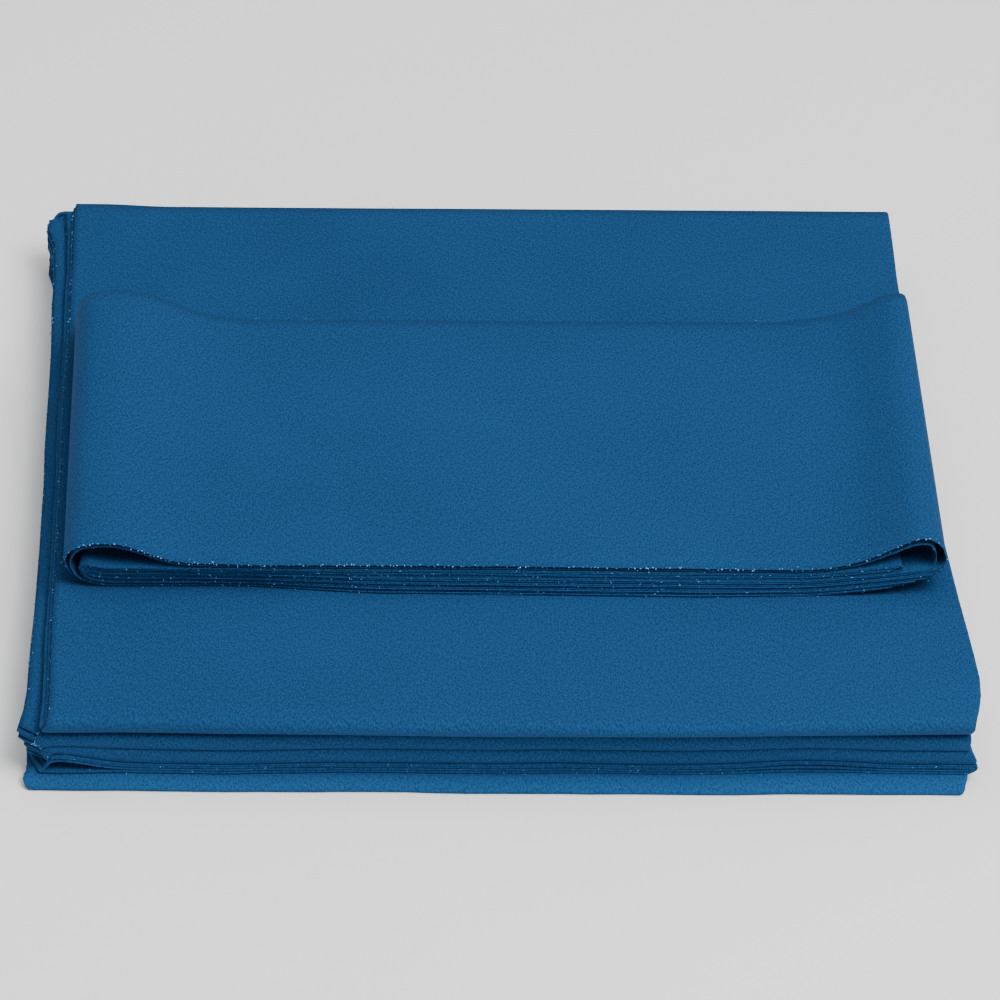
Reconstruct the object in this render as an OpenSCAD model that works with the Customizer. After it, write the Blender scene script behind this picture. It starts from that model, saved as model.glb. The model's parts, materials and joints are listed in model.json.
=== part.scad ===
// Game table cloth set, folded for storage.
// One bed cloth is folded into a flat stack, and six rail strips are laid on each
// other, folded together in half twice and laid on top of it as one bundle.
// Origin: middle of the stack, on the surface that it lies on. +X right, +Y back.

/* [Bed cloth] */
// Folded width, left to right
bed_w = 375; // [360:1:420]
// Folded depth, front to back
bed_d = 350; // [250:1:400]
// Thickness of one folded panel, which is four plies of cloth
panel_t = 4; // [3:0.1:6]
// How far the middle front folds lie behind the top and bottom ones
front_step = 3; // [1:0.5:12]
// Slit between two panels that lie on each other
slit = 0.2; // [0.1:0.05:0.5]

/* [Rail strips] */
// Length of the folded bundle, left to right
bundle_l = 356; // [300:1:358]
// Width of a strip, front to back
strip_w = 163; // [100:1:200]
// Thickness of one ply of a strip
ply_t = 0.5; // [0.3:0.05:0.6]
// Height from one ply to the next
ply_pitch = 0.64; // [0.62:0.01:0.8]
// Middle of the bundle, to the right of the bed cloth's middle
bundle_x = 5; // [0:0.5:8]
// Middle of the bundle, in front of the bed cloth's middle
bundle_front = 11.5; // [0:0.5:40]
// How far the top ply stands up in a loose loop near each end
loop_rise = 10.5; // [0:0.5:12]

/* [Hidden] */

panels = 9;                 // bed cloth: one panel lies on the next
strips = 6;                 // rail strips in the bundle
half_plies = 2 * strips;    // plies in each half of the folded bundle
turn_gap = 0.3;             // room round a nose that turns with its upper half
cloth_blue = [0.106, 0.341, 0.529];
edge_blue = [0.16, 0.42, 0.62];

// Bed cloth: the top leaf turns about the middle of its front fold
bed_h = panels * panel_t;
leaf_gap = turn_gap / 2;
leaf_axis_z = (panels - 1) * panel_t + leaf_gap;
leaf_nose_r = bed_h - leaf_axis_z;
leaf_axis_y = -bed_d / 2 + leaf_nose_r;

// Bundle: the upper half turns about the middle of the left fold
nose_r = half_plies * ply_pitch;
lower_h = nose_r + turn_gap;
lower_pitch = lower_h / half_plies;
axis_z = bed_h + lower_h;
axis_x = bundle_x - bundle_l / 2 + nose_r;
right_nose_r = strips * ply_pitch;
right_nose_x = bundle_x + bundle_l / 2 - right_nose_r;
fold_creep = PI * lower_pitch;   // length that each ply further out loses in a fold
loop_in = 16;                    // from a loop's outer end to its highest point
left_loop_l = 70;                // from the left loop's highest point to the flat
right_loop_l = 42;               // from the right loop's highest point to the flat
arc_steps = 16;
ply_steps = 48;

// ---- plain functions ------------------------------------------------------

function clamp01(t) = min(1, max(0, t));
function ease(t) = let (c = clamp01(t)) c * c * (3 - 2 * c);

// Loose rise of the top ply at a place along the bundle
function loop_at(x) =
    let (left = bundle_x - bundle_l / 2, right = bundle_x + bundle_l / 2)
    loop_rise * max(
        ease((x - left) / loop_in + 0.35) * ease(1 - (x - left - loop_in) / left_loop_l),
        ease((right - x) / loop_in + 0.35) * ease(1 - (right - x - loop_in) / right_loop_l));

// A point of the outermost strip, lifted in step with its height over the fold
function lifted(p) =
    let (k = clamp01((p[1] - axis_z) / nose_r))
    [p[0], p[1] + loop_at(p[0]) * k * k];

// Points of an arc in the XZ plane
function arc(cx, cz, r, from, to) =
    [for (i = [0:arc_steps]) let (a = from + (to - from) * i / arc_steps)
        [cx + r * cos(a), cz + r * sin(a)]];

// Points of a stretch along the bundle, without its two ends. A flat one needs none.
function run(x0, x1, z, steps) = [for (i = [1:1:steps - 1]) [x0 + (x1 - x0) * i / steps, z]];

// One side of a strip's upper ribbon. The ribbon goes up round the left nose, right along
// the outer ply, round the right nose and back along the inner ply, and round the left
// nose again. The offset moves it to the ribbon's outer or inner face, and steps is the
// number of stretches that the outer ply is bent at.
function ribbon_side(outer, inner, offset_out, steps) =
    let (r_out = (outer + 0.5) * ply_pitch + offset_out,
         r_in = (inner + 0.5) * ply_pitch - offset_out,
         mid_z = axis_z + right_nose_r,
         r_right = (outer - inner) / 2 * ply_pitch + offset_out)
    concat(
        arc(axis_x, axis_z, r_out, 270, 90),
        run(axis_x, right_nose_x, axis_z + r_out, steps),
        arc(right_nose_x, mid_z, r_right, 90, -90),
        arc(axis_x, axis_z, r_in, 90, 270));

function reversed(list) = [for (i = [len(list) - 1:-1:0]) list[i]];

// ---- bed cloth ------------------------------------------------------------

// The cloth's first end lies at the front as the third panel from below. From there it
// goes back, down to the second panel, round the front to the lowest, up round the back
// to the fourth, and then to and fro to the top leaf. Panels count from 0 at the bottom.
FRONT_FOLDS = [0, 3, 5];      // each joins this panel to the next one up
BACK_FOLDS = [1, 4, 6];
OUTER_BACK_FOLD = 2;          // panels below its middle, round which 0 turns into 3

// Front of the fold that joins a panel to the one above it
function front_y(panel) = -bed_d / 2 + (panel == 0 ? 0 : front_step);

// A slit at the top of a panel, between two places in the depth
module slit_over(panel, from_y, to_y) {
    translate([from_y, (panel + 1) * panel_t - slit / 2])
        square([to_y - from_y, slit]);
}

// Side outline of the eight lower panels, drawn with the depth along X
module lower_folds_outline() {
    back_y = bed_d / 2 - panel_t;
    outer_y = bed_d / 2 - OUTER_BACK_FOLD * panel_t;
    outer_z = OUTER_BACK_FOLD * panel_t;
    beyond = bed_d / 2 + panel_t;
    difference() {
        union() {
            // the panels themselves, with the first end a step behind the folds
            translate([-bed_d / 2 + 2 * front_step, 0])
                square([outer_y + bed_d / 2 - 2 * front_step, 4 * panel_t]);
            translate([-bed_d / 2 + front_step + panel_t, 4 * panel_t])
                square([bed_d - front_step - 2 * panel_t, 4 * panel_t]);
            for (i = FRONT_FOLDS)
                translate([front_y(i) + panel_t, (i + 1) * panel_t]) {
                    circle(r = panel_t, $fn = 48);
                    translate([0, -panel_t])
                        square([front_step + panel_t, 2 * panel_t]);
                }
            for (i = BACK_FOLDS)
                translate([back_y, (i + 1) * panel_t])
                    circle(r = panel_t, $fn = 48);
            translate([outer_y, outer_z])
                circle(r = OUTER_BACK_FOLD * panel_t, $fn = 64);
        }
        // slits inside the front folds run out at the back, or up to the outer back fold
        slit_over(0, front_y(0) + panel_t, outer_y);
        slit_over(2, -beyond, outer_y);
        slit_over(3, front_y(3) + panel_t, beyond);
        slit_over(5, front_y(5) + panel_t, beyond);
        // slits inside the back folds run out at the front
        slit_over(1, -beyond, outer_y);
        slit_over(4, -beyond, back_y);
        slit_over(6, -beyond, back_y);
        // the inner back fold lies inside the outer one
        translate([outer_y, outer_z])
            intersection() {
                difference() {
                    circle(r = panel_t + slit / 2, $fn = 64);
                    circle(r = panel_t - slit / 2, $fn = 64);
                }
                translate([0, -bed_h])
                    square(2 * bed_h);
            }
        // room in the eighth panel for the turning front fold of the top leaf
        translate([-beyond, (panels - 2) * panel_t])
            square([beyond + leaf_axis_y + leaf_nose_r + turn_gap, panel_t + slit]);
    }
}

// Turns an outline drawn in depth and height into a solid across the whole width
module across_width(width) {
    translate([-width / 2, 0, 0])
        rotate([90, 0, 90])
            linear_extrude(width) children();
}

module bed_cloth_lower_folds() {
    color(cloth_blue)
        across_width(bed_w) lower_folds_outline();
}

module bed_cloth_top_leaf() {
    color(cloth_blue)
        across_width(bed_w) {
            translate([leaf_axis_y, leaf_axis_z])
                square([bed_d / 2 - leaf_axis_y, leaf_nose_r]);
            translate([leaf_axis_y, leaf_axis_z])
                intersection() {
                    circle(r = leaf_nose_r, $fn = 64);
                    translate([-2 * leaf_nose_r, -leaf_nose_r])
                        square([2 * leaf_nose_r, 2 * leaf_nose_r]);
                }
        }
}

// ---- rail strips ----------------------------------------------------------

// Turns an outline drawn along the bundle into a solid across the strips' width
module across_strip() {
    translate([0, strip_w / 2 - bundle_front, 0])
        rotate([90, 0, 0])
            linear_extrude(strip_w) children();
}

// A strip lies in each half as two plies. Counted from the bundle's middle, strip 1 has
// the first and the last ply, and strip 6 the two in between.
function inner_ply(i) = i - 1;
function outer_ply(i) = half_plies - i;

// One flat ply of the lower half, which ends further in the further out it lies
module lower_ply(ply) {
    start = axis_x + nose_r + turn_gap;
    end = right_nose_x - ply * fold_creep;
    translate([start, axis_z - (ply + 0.5) * lower_pitch - ply_t / 2])
        square([end - start, ply_t]);
}

module rail_strip_lower(i) {
    color(i % 2 == 0 ? cloth_blue : edge_blue)
        across_strip() {
            lower_ply(inner_ply(i));
            lower_ply(outer_ply(i));
        }
}

// The upper plies with both noses. Only the outermost strip stands up in loose loops.
module rail_strip_upper(i) {
    steps = i == 1 ? ply_steps : 1;
    outline = concat(ribbon_side(outer_ply(i), inner_ply(i), ply_t / 2, steps),
                     reversed(ribbon_side(outer_ply(i), inner_ply(i), -ply_t / 2, steps)));
    color(i % 2 == 0 ? cloth_blue : edge_blue)
        across_strip()
            polygon([for (p = outline) i == 1 ? lifted(p) : p]);
}

bed_cloth_lower_folds();
bed_cloth_top_leaf();
rail_strip_lower(1);  // rail_strip_1_lower
rail_strip_lower(2);  // rail_strip_2_lower
rail_strip_lower(3);  // rail_strip_3_lower
rail_strip_lower(4);  // rail_strip_4_lower
rail_strip_lower(5);  // rail_strip_5_lower
rail_strip_lower(6);  // rail_strip_6_lower
rail_strip_upper(1);  // rail_strip_1_upper
rail_strip_upper(2);  // rail_strip_2_upper
rail_strip_upper(3);  // rail_strip_3_upper
rail_strip_upper(4);  // rail_strip_4_upper
rail_strip_upper(5);  // rail_strip_5_upper
rail_strip_upper(6);  // rail_strip_6_upper
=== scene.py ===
"""Folded game table cloth set: a bed cloth in a flat stack, with a bundle of rail strips on it.

Every sheet is one continuous folded cloth. A sheet is mapped from its flat cut, in metres,
along folding paths of straight runs and round turns, and small warps then take away the
regularity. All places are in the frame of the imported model.
"""

from __future__ import annotations

import json
import logging
import math
from dataclasses import dataclass
from enum import Enum

import bpy
import numpy as np
from mathutils import Matrix, Vector

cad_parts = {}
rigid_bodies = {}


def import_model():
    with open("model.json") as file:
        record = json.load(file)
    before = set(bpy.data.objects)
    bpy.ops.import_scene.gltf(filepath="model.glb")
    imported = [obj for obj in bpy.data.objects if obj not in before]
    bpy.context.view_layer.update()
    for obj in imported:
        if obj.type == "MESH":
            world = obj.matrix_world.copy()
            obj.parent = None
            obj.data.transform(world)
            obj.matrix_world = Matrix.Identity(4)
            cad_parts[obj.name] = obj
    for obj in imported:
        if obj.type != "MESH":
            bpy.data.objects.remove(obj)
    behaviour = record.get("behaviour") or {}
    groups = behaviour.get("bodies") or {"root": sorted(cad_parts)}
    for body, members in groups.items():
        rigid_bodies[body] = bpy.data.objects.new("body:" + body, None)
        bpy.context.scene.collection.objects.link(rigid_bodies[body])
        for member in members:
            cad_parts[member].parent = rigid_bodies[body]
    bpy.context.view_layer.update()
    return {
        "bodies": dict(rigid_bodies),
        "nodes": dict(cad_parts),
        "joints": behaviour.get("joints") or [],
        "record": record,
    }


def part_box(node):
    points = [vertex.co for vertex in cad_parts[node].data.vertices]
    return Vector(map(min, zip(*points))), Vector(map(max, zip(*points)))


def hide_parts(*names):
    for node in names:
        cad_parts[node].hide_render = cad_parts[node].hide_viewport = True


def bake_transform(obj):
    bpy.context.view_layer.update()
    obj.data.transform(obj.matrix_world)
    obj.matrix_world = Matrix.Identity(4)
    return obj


log = logging.getLogger("cloth_set")
MM = 0.001


# ---- small numeric helpers --------------------------------------------------


def ease(t: np.ndarray) -> np.ndarray:
    """Smooth step from 0 to 1 as t goes from 0 to 1.

    Args:
        t: any values.

    Returns:
        The step at each value.
    """
    c = np.clip(t, 0.0, 1.0)
    return c * c * (3.0 - 2.0 * c)


def wave(t: np.ndarray, length: float, seed: float) -> np.ndarray:
    """Irregular smooth wave, about -1 to 1, with no randomness in it.

    Args:
        t: places along the wave, in metres.
        length: the typical distance between two crests, in metres.
        seed: any number; another one gives another wave.

    Returns:
        The wave's height at each place.
    """
    a = 2.0 * math.pi / length
    return (
        0.50 * np.sin(a * t + 1.7 * seed)
        + 0.32 * np.sin(a * 1.73 * t + 4.1 * seed + 0.6)
        + 0.18 * np.sin(a * 3.11 * t + 2.3 * seed + 2.0)
    )


def curve(t: np.ndarray, knots: list[tuple[float, float]], soft: float = 4.0) -> np.ndarray:
    """Smooth line through knots.

    Args:
        t: places along the line, in metres.
        knots: place and value of each knot, in millimetres.
        soft: how far each corner is rounded, in millimetres.

    Returns:
        The line's value at each place, in metres.
    """
    at, value = np.array(knots).T * MM
    return sum(np.interp(t + soft * MM * k, at, value) for k in (-1.0, -0.5, 0.0, 0.5, 1.0)) / 5.0


def bump(t: np.ndarray, centre: float, width: float) -> np.ndarray:
    """Round hump of height 1 at the centre, which is down to nothing a width away."""
    return ease(1.0 - np.abs(t - centre) / width)


# ---- folding ----------------------------------------------------------------


class FoldPath:
    """Planar path of straight runs and half turns, with a normal at each sample.

    The station of a sample counts the runs: it is 0 on the first run, 1 on the second, and
    in between on the turn that joins them.
    """

    # share of even steps along a run; the rest of the steps get closer at its ends
    EVEN = 0.28

    def __init__(self, start: tuple[float, float]) -> None:
        """Starts at a point, heading along the first axis.

        Args:
            start: the point.
        """
        self.points = [start]
        self.normals = [(0.0, 1.0)]
        self.stations = [0.0]
        self.heading = 1.0
        self.run_index = 0

    def run(self, to: float, count: int) -> "FoldPath":
        """Goes straight on to a place along the first axis, with closer steps at its ends.

        Args:
            to: the place where the run ends.
            count: number of steps.

        Returns:
            The path itself.
        """
        a, b = self.points[-1]
        for i in range(1, count + 1):
            t = i / count
            t = self.EVEN * t + (1.0 - self.EVEN) * (0.5 - 0.5 * math.cos(math.pi * t))
            self.points.append((a + (to - a) * t, b))
            self.normals.append((0.0, self.heading))
            self.stations.append(float(self.run_index))
        return self

    def turn(self, to: float, reach: float, count: int) -> "FoldPath":
        """Folds round to another height, and heads back.

        Args:
            to: height after the turn, along the second axis.
            reach: how far the turn stands out past the end of the run.
            count: number of steps.

        Returns:
            The path itself.
        """
        a, b = self.points[-1]
        mid, half = (b + to) / 2.0, (b - to) / 2.0
        for i in range(1, count + 1):
            angle = math.pi * i / count
            self.points.append((a + self.heading * reach * math.sin(angle), mid + half * math.cos(angle)))
            along = (self.heading * reach * math.cos(angle), -half * math.sin(angle))
            size = math.hypot(*along)
            self.normals.append((-along[1] / size, along[0] / size))
            self.stations.append(self.run_index + i / count)
        self.run_index += 1
        self.heading = -self.heading
        return self

    def arrays(self) -> tuple[np.ndarray, np.ndarray, np.ndarray, np.ndarray]:
        """Gathers the path in arrays.

        Returns:
            The points, the normals, the stations and the length up to each point.
        """
        points = np.array(self.points)
        steps = np.hypot(*np.diff(points, axis=0).T)
        length = np.concatenate([[0.0], np.cumsum(steps)])
        return points, np.array(self.normals), np.array(self.stations), length


@dataclass
class ClothGrid:
    """Middle surface of a folded sheet, with what its finish needs at each point."""

    places: np.ndarray
    # paleness at each point: wear at the folds, and on the bed cloth also a painted highlight on the lowest
    # fold's front
    fold: np.ndarray

    def flat(self) -> np.ndarray:
        """Lays the cloth out flat, by its length measured along the folded one.

        Returns:
            The place of each point on the flat cloth, in metres.
        """
        parts = []
        for axis in (0, 1):
            steps = np.linalg.norm(np.diff(self.places, axis=axis), axis=2)
            start = np.zeros_like(np.take(steps, [0], axis))
            parts.append(np.concatenate([start, np.cumsum(steps, axis)], axis))
        return np.stack(parts, axis=-1)

    def from_edge(self) -> np.ndarray:
        """Measures how far each point lies from the nearest cut edge.

        Returns:
            The distances, in metres.
        """
        flat = self.flat()
        far = flat[-1:, :, 0] - flat[:, :, 0], flat[:, -1:, 1] - flat[:, :, 1]
        return np.minimum.reduce([flat[:, :, 0], flat[:, :, 1], *far])

    def outward(self) -> np.ndarray:
        """Finds the direction that each point of the cloth faces in.

        Returns:
            A unit normal for each point of the grid.
        """
        across = np.gradient(self.places, axis=0)
        along = np.gradient(self.places, axis=1)
        normal = np.cross(across, along)
        return normal / np.maximum(np.linalg.norm(normal, axis=2, keepdims=True), 1e-12)

    def mesh(self, name: str, thickness: float | np.ndarray) -> bpy.types.Object:
        """Makes the closed mesh of the sheet.

        Args:
            name: the object's name.
            thickness: the cloth's thickness, in metres, for all rows or for each row.

        Returns:
            The new object, with its flat cut as UV map, in metres.
        """
        rows, columns = self.places.shape[:2]
        half = self.outward() * np.reshape(thickness, (-1, 1, 1)) / 2.0
        upper = (self.places + half).reshape(-1, 3)
        lower = (self.places - half).reshape(-1, 3)
        index = np.arange(rows * columns).reshape(rows, columns)
        under = index + rows * columns
        corners = [index[:-1, :-1], index[1:, :-1], index[1:, 1:], index[:-1, 1:]]
        top = np.stack(corners, axis=-1).reshape(-1, 4)
        bottom = (top + rows * columns)[:, ::-1]
        rims = [
            self._rim(index[0, :], under[0, :], True),
            self._rim(index[-1, :], under[-1, :], False),
            self._rim(index[:, 0], under[:, 0], False),
            self._rim(index[:, -1], under[:, -1], True),
        ]
        faces = np.concatenate([top, bottom, *rims])
        mesh = bpy.data.meshes.new(name)
        mesh.vertices.add(2 * rows * columns)
        mesh.vertices.foreach_set("co", np.concatenate([upper, lower]).astype(np.float32).ravel())
        mesh.loops.add(faces.size)
        mesh.loops.foreach_set("vertex_index", faces.astype(np.int32).ravel())
        mesh.polygons.add(len(faces))
        mesh.polygons.foreach_set("loop_start", np.arange(0, faces.size, 4, dtype=np.int32))
        mesh.polygons.foreach_set("use_smooth", np.ones(len(faces), dtype=bool))
        mesh.update(calc_edges=True)
        mesh.validate()
        flat = np.concatenate([self.flat().reshape(-1, 2)] * 2)
        uv = mesh.uv_layers.new(name="flat_cut")
        loops = np.empty(len(mesh.loops), dtype=np.int32)
        mesh.loops.foreach_get("vertex_index", loops)
        uv.data.foreach_set("uv", flat[loops].astype(np.float32).ravel())
        for label, values in (("fold", self.fold), ("from_edge", self.from_edge())):
            attribute = mesh.attributes.new(label, "FLOAT", "POINT")
            attribute.data.foreach_set("value", np.concatenate([values.ravel()] * 2).astype(np.float32))
        obj = bpy.data.objects.new(name, mesh)
        bpy.context.scene.collection.objects.link(obj)
        return obj

    @staticmethod
    def _rim(upper: np.ndarray, lower: np.ndarray, forward: bool) -> np.ndarray:
        """Returns the quads between two edges, facing out."""
        quads = np.stack([upper[:-1], upper[1:], lower[1:], lower[:-1]], axis=-1)
        return quads if forward else quads[:, ::-1]


# ---- finishes ---------------------------------------------------------------


class NodeTree:
    """Short way to add and join nodes in a tree."""

    def __init__(self, tree: bpy.types.NodeTree) -> None:
        """Wraps a tree."""
        self.tree = tree

    def add(self, kind: str, settings: dict | None = None, **inputs: object) -> bpy.types.Node:
        """Adds a node, sets its own settings and fills its inputs.

        Args:
            kind: the node's type name.
            settings: values for the node's own properties.
            **inputs: a value or an output socket for each input, by name with _ for space.

        Returns:
            The new node.
        """
        node = self.tree.nodes.new(kind)
        for key, value in (settings or {}).items():
            setattr(node, key, value)
        for key, value in inputs.items():
            self.fill(node, key.replace("_", " "), value)
        return node

    def fill(self, node: bpy.types.Node, name: str | int, value: object) -> None:
        """Fills an input with a value or a link.

        Args:
            node: the node that the input is on.
            name: the name or the number of the input.
            value: a value, or an output socket to link.
        """
        socket = node.inputs[name]
        if isinstance(value, bpy.types.NodeSocket):
            self.tree.links.new(value, socket)
        else:
            socket.default_value = value

    def maths(self, operation: str, *values: object) -> bpy.types.NodeSocket:
        """Adds a Math node.

        Args:
            operation: the kind of sum.
            *values: a value or an output socket for each input in turn.

        Returns:
            The output.
        """
        node = self.tree.nodes.new("ShaderNodeMath")
        node.operation = operation
        for number, value in enumerate(values):
            self.fill(node, number, value)
        return node.outputs[0]

    def mix(self, factor: object, first: object, second: object) -> bpy.types.NodeSocket:
        """Adds a colour Mix node.

        Args:
            factor: share of the second colour.
            first: the first colour.
            second: the second colour.

        Returns:
            The mixed colour.
        """
        node = self.tree.nodes.new("ShaderNodeMix")
        node.data_type = "RGBA"
        self.fill(node, 0, factor)
        self.fill(node, 6, first)
        self.fill(node, 7, second)
        return node.outputs[2]

    def ramp(
        self, value: object, low: float, high: float, to_low: float = 0.0, to_high: float = 1.0
    ) -> bpy.types.NodeSocket:
        """Adds a smooth Map Range node.

        Args:
            value: what is mapped.
            low: the value that maps to to_low.
            high: the value that maps to to_high.
            to_low: result at and below low.
            to_high: result at and above high.

        Returns:
            The mapped value.
        """
        node = self.tree.nodes.new("ShaderNodeMapRange")
        node.interpolation_type = "SMOOTHSTEP"
        for number, part in enumerate((value, low, high, to_low, to_high)):
            self.fill(node, number, part)
        return node.outputs[0]


class WorstedWeave:
    """Shader group of the cloth's surface: blended yarns, twill lines, nap, worn folds, and the painted
    highlight that a sheet's fold values carry.
    """

    NAME = "worsted_weave"
    # sizes of the twill lines, the yarn specks, the nap's tufts and the wide clouds
    TWILL = 0.9 * MM
    YARN = 0.60 * MM
    TUFT = 1.7 * MM
    CLOUD = 70.0 * MM
    YARN_SLANT = 0.5
    YARN_STRETCH = 0.55
    # how much each of them changes the colour, and the level that they change it about
    TWILL_SHARE = 0.035
    YARN_SHARE = 0.80
    TUFT_SHARE = 0.36
    CLOUD_SHARE = 0.25
    MIDDLE = 0.58
    # how pale a worn fold and a cut edge are; the fold share also sets the painted highlight carried by the
    # fold values
    FOLD_WEAR_AND_PAINTED_LIGHT = 0.03
    WORN_EDGE = 0.07
    # how far the twill and the tufts stand out, where the yarns stand out by 1
    TWILL_RELIEF = 0.25
    TUFT_RELIEF = 0.8

    @classmethod
    def group(cls) -> bpy.types.NodeTree:
        """Finds the group, and builds it the first time.

        Returns:
            The shader group.
        """
        found = bpy.data.node_groups.get(cls.NAME)
        if found:
            return found
        tree = bpy.data.node_groups.new(cls.NAME, "ShaderNodeTree")
        sockets = tree.interface
        for name, kind, value in (
            ("Dark Yarn", "NodeSocketColor", (0.0, 0.0, 0.0, 1.0)),
            ("Light Yarn", "NodeSocketColor", (1.0, 1.0, 1.0, 1.0)),
            ("Edge Colour", "NodeSocketColor", (1.0, 1.0, 1.0, 1.0)),
            ("Speckle", "NodeSocketFloat", 1.0),
        ):
            socket = sockets.new_socket(name=name, in_out="INPUT", socket_type=kind)
            socket.default_value = value
        sockets.new_socket(name="Color", in_out="OUTPUT", socket_type="NodeSocketColor")
        sockets.new_socket(name="Height", in_out="OUTPUT", socket_type="NodeSocketFloat")
        cls._fill(NodeTree(tree))
        return tree

    @staticmethod
    def _noise(nodes: NodeTree, place: object, size: float, detail: float, rough: float) -> object:
        """Adds a Noise node.

        Args:
            nodes: the group that it goes in.
            place: output socket with the place on the cloth.
            size: size of the pattern, in metres.
            detail: how many finer patterns lie over it.
            rough: how strong the finer ones are.

        Returns:
            The pattern's value.
        """
        node = nodes.add("ShaderNodeTexNoise", Vector=place, Scale=1.0 / size, Detail=detail, Roughness=rough)
        return node.outputs["Fac"]

    @classmethod
    def _fill(cls, nodes: NodeTree) -> None:
        """Adds the group's nodes.

        Args:
            nodes: the group to fill.
        """
        given = nodes.add("NodeGroupInput").outputs
        uv = nodes.add("ShaderNodeUVMap", {"uv_map": "flat_cut"}).outputs["UV"]
        parts = nodes.add("ShaderNodeSeparateXYZ", Vector=uv).outputs
        # blended yarns: short stretched specks, lighter and darker than the cloth
        slant, stretch = (0.0, 0.0, cls.YARN_SLANT), (1.0, cls.YARN_STRETCH, 1.0)
        yarn_place = nodes.add("ShaderNodeMapping", Vector=uv, Rotation=slant, Scale=stretch).outputs[0]
        fine = cls._noise(nodes, yarn_place, cls.YARN, 2.0, 0.6)
        tuft = cls._noise(nodes, uv, cls.TUFT, 2.0, 0.5)
        cloud = cls._noise(nodes, uv, cls.CLOUD, 3.0, 0.5)
        # twill: lines at an angle to the cut edge
        slope = nodes.maths("ADD", parts["X"], nodes.maths("MULTIPLY", parts["Y"], 0.7))
        twill = nodes.maths("SINE", nodes.maths("MULTIPLY", slope, 2.0 * math.pi / cls.TWILL))
        speck = nodes.maths("MULTIPLY", nodes.ramp(fine, 0.30, 0.70), cls.YARN_SHARE)
        speck = nodes.maths("ADD", speck, nodes.maths("MULTIPLY", tuft, cls.TUFT_SHARE))
        speck = nodes.maths("ADD", speck, nodes.maths("MULTIPLY", twill, cls.TWILL_SHARE))
        cloud = nodes.maths("MULTIPLY", nodes.maths("SUBTRACT", cloud, 0.5), cls.CLOUD_SHARE)
        speck = nodes.maths("SUBTRACT", nodes.maths("ADD", speck, cloud), cls.MIDDLE)
        share = nodes.maths("ADD", nodes.maths("MULTIPLY", speck, given["Speckle"]), 0.5)
        colour = nodes.mix(share, given["Dark Yarn"], given["Light Yarn"])
        # worn folds and cut edges are paler, and so is the bed's lowest fold front, as a painted highlight
        # carried in the fold attribute
        fold = nodes.add("ShaderNodeAttribute", {"attribute_name": "fold"}).outputs["Fac"]
        from_edge = nodes.add("ShaderNodeAttribute", {"attribute_name": "from_edge"}).outputs["Fac"]
        edge = nodes.ramp(from_edge, 0.0001, 0.0012, 1.0, 0.0)
        fold = nodes.maths("MULTIPLY", fold, cls.FOLD_WEAR_AND_PAINTED_LIGHT)
        pale = nodes.maths("ADD", fold, nodes.maths("MULTIPLY", edge, cls.WORN_EDGE))
        pale = nodes.maths("MULTIPLY", pale, nodes.ramp(fine, 0.25, 0.65, 0.2, 1.0))
        colour = nodes.mix(pale, colour, given["Edge Colour"])
        height = nodes.maths("ADD", nodes.maths("MULTIPLY", twill, cls.TWILL_RELIEF), fine)
        height = nodes.maths("ADD", height, nodes.maths("MULTIPLY", tuft, cls.TUFT_RELIEF))
        result = nodes.add("NodeGroupOutput")
        nodes.fill(result, "Color", colour)
        nodes.fill(result, "Height", height)


@dataclass(frozen=True)
class Worsted:
    """Blue worsted, as a finish with its own yarn colours."""

    name: str
    dark: tuple[float, float, float]
    light: tuple[float, float, float]
    edge: tuple[float, float, float]
    speckle: float = 0.85
    relief: float = 0.18 * MM
    relief_strength: float = 0.12

    def material(self) -> bpy.types.Material:
        """Finds the material, and makes it the first time.

        Returns:
            The material.
        """
        found = bpy.data.materials.get(self.name)
        if found:
            return found
        material = bpy.data.materials.new(self.name)
        material.use_nodes = True
        material.node_tree.nodes.clear()
        nodes = NodeTree(material.node_tree)
        weave = nodes.add("ShaderNodeGroup", {"node_tree": WorstedWeave.group()})
        colours = {"Dark Yarn": self.dark, "Light Yarn": self.light, "Edge Colour": self.edge}
        for name, colour in colours.items():
            nodes.fill(weave, name, (*colour, 1.0))
        nodes.fill(weave, "Speckle", self.speckle)
        relief = nodes.add("ShaderNodeBump", Strength=self.relief_strength, Distance=self.relief)
        nodes.fill(relief, "Height", weave.outputs["Height"])
        shader = nodes.add(
            "ShaderNodeBsdfPrincipled",
            Base_Color=weave.outputs["Color"],
            Normal=relief.outputs["Normal"],
            Roughness=0.95,
            IOR=1.45,
            Specular_IOR_Level=0.08,
            Sheen_Weight=0.04,
            Sheen_Roughness=0.5,
            Sheen_Tint=(0.10, 0.45, 0.95, 1.0),
        )
        nodes.add("ShaderNodeOutputMaterial", Surface=shader.outputs["BSDF"])
        return material


@dataclass(frozen=True)
class ThreadFinish:
    """Loose thread ends: pale blue, and duller towards the cloth's own colour in places."""

    name: str
    dark: tuple[float, float, float]
    light: tuple[float, float, float]

    def material(self) -> bpy.types.Material:
        """Finds the material, which varies from place to place, and makes it the first time.

        Returns:
            The material.
        """
        found = bpy.data.materials.get(self.name)
        if found:
            return found
        material = bpy.data.materials.new(self.name)
        material.use_nodes = True
        material.node_tree.nodes.clear()
        nodes = NodeTree(material.node_tree)
        place = nodes.add("ShaderNodeTexCoord").outputs["Object"]
        noise = nodes.add("ShaderNodeTexNoise", Vector=place, Scale=420.0, Detail=1.0, Roughness=0.5)
        spot = nodes.ramp(noise.outputs["Fac"], 0.42, 0.62)
        colour = nodes.mix(spot, (*self.dark, 1.0), (*self.light, 1.0))
        shader = nodes.add(
            "ShaderNodeBsdfPrincipled",
            Base_Color=colour,
            Roughness=0.85,
            Specular_IOR_Level=0.2,
            Sheen_Weight=0.3,
            Sheen_Roughness=0.4,
            Sheen_Tint=(0.7, 0.85, 1.0, 1.0),
        )
        nodes.add("ShaderNodeOutputMaterial", Surface=shader.outputs["BSDF"])
        return material


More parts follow.
